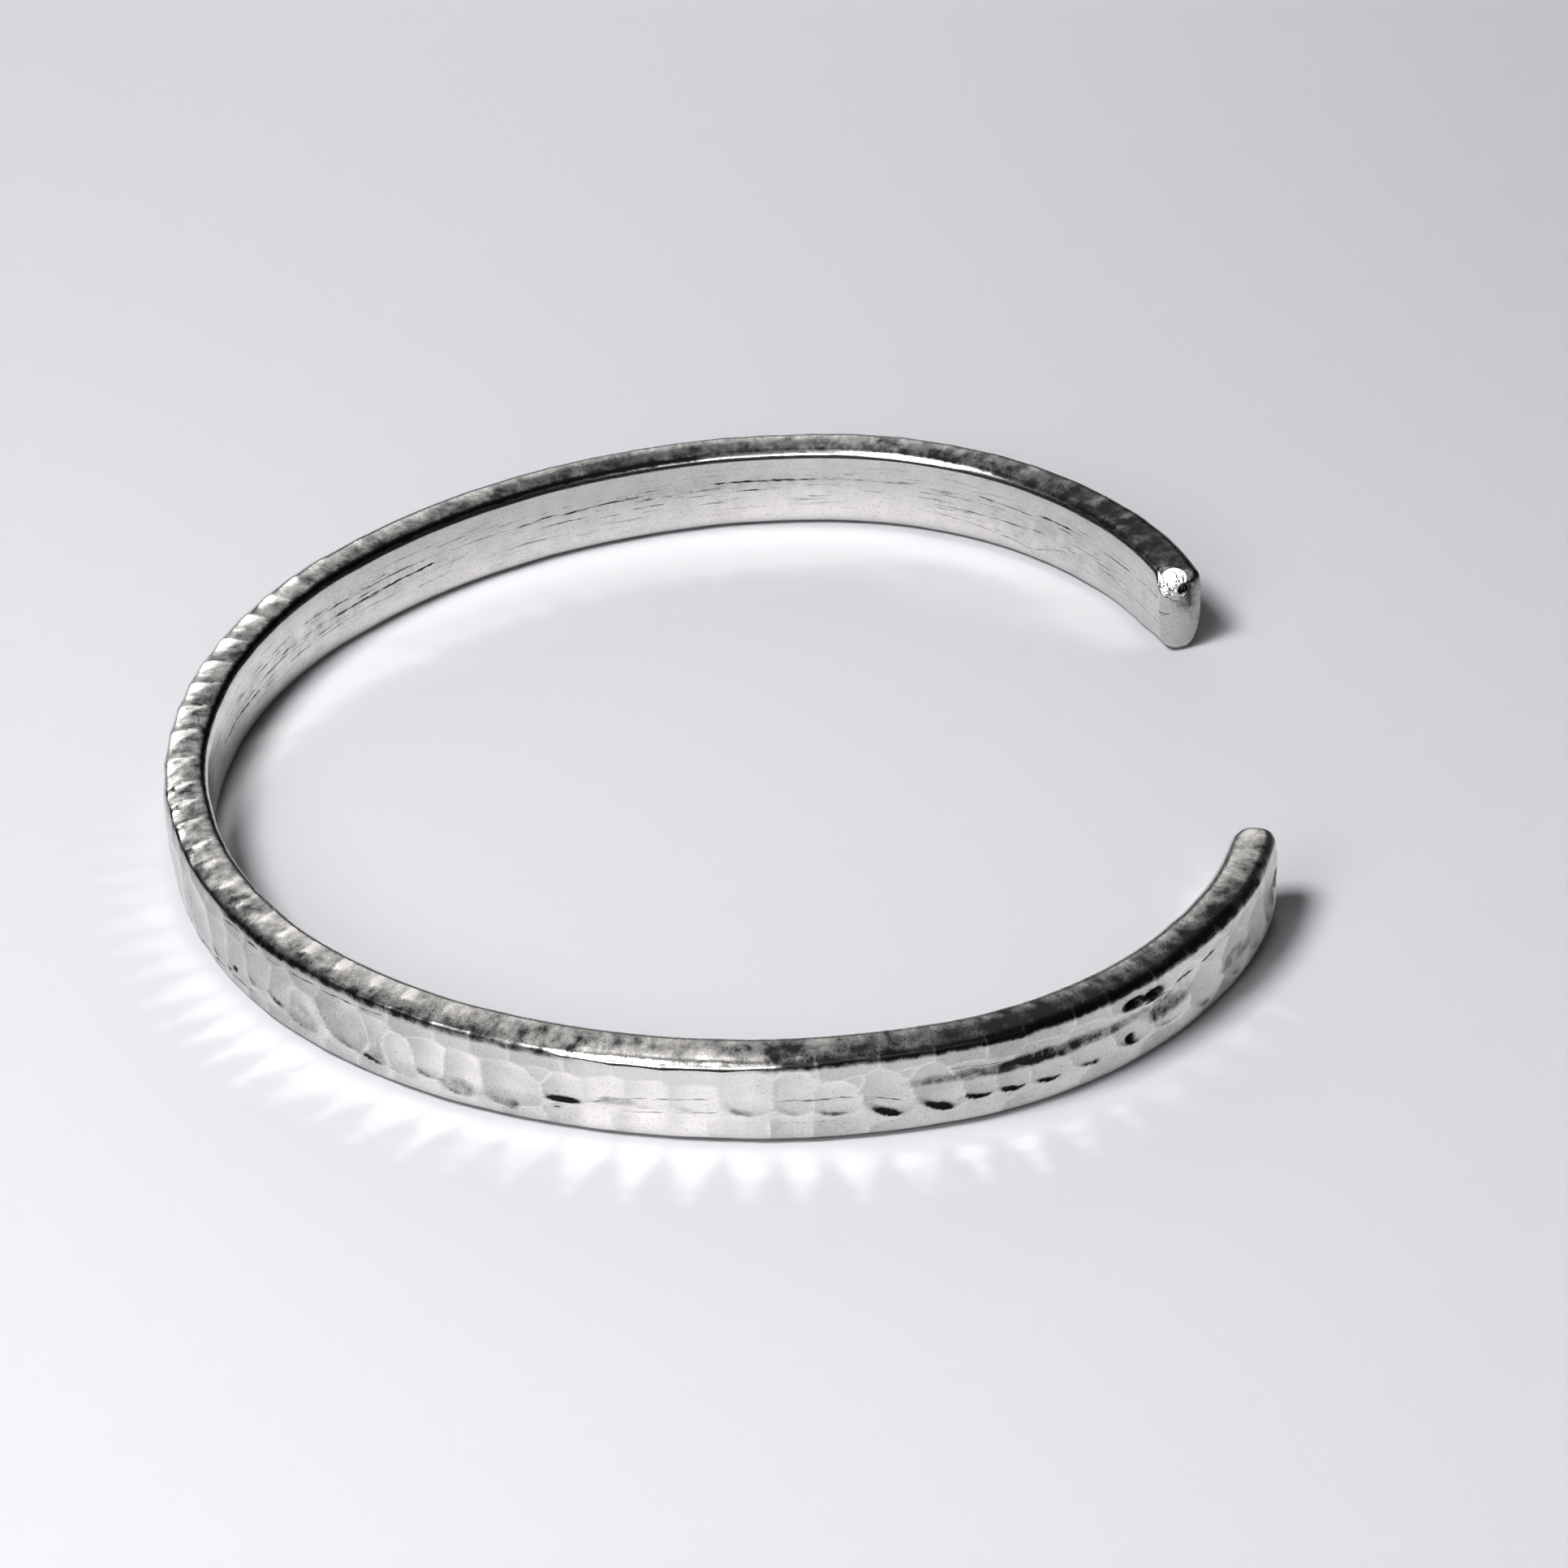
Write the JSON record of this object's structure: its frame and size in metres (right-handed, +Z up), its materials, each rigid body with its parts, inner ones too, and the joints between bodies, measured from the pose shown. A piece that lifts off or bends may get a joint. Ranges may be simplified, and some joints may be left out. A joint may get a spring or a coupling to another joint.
{
  "type": "hammered cuff bangle",
  "caption": "Open oval cuff bangle of solid rectangular silver bar, hammered along its outer face, smooth inside, with filed-round ends; worn on the wrist.",
  "frame": {"origin": "the middle of the cuff's outline in plan, on the surface that it lies on", "axes": "+Z up through the wrist opening, +X out through the gap between the two ends, +Y towards the longer arm"},
  "size_m": [0.0574, 0.0592, 0.005],
  "materials": {
    "hammered_silver": "sterling silver with a satin wear finish, bright on the hammer ridges and dressed edges, with dark tarnish in the hollows, along the long edges and in fine lines along the inner face"
  },
  "bodies": {
    "root": {"cuff_band": "hammered_silver"}
  },
  "joints": []
}
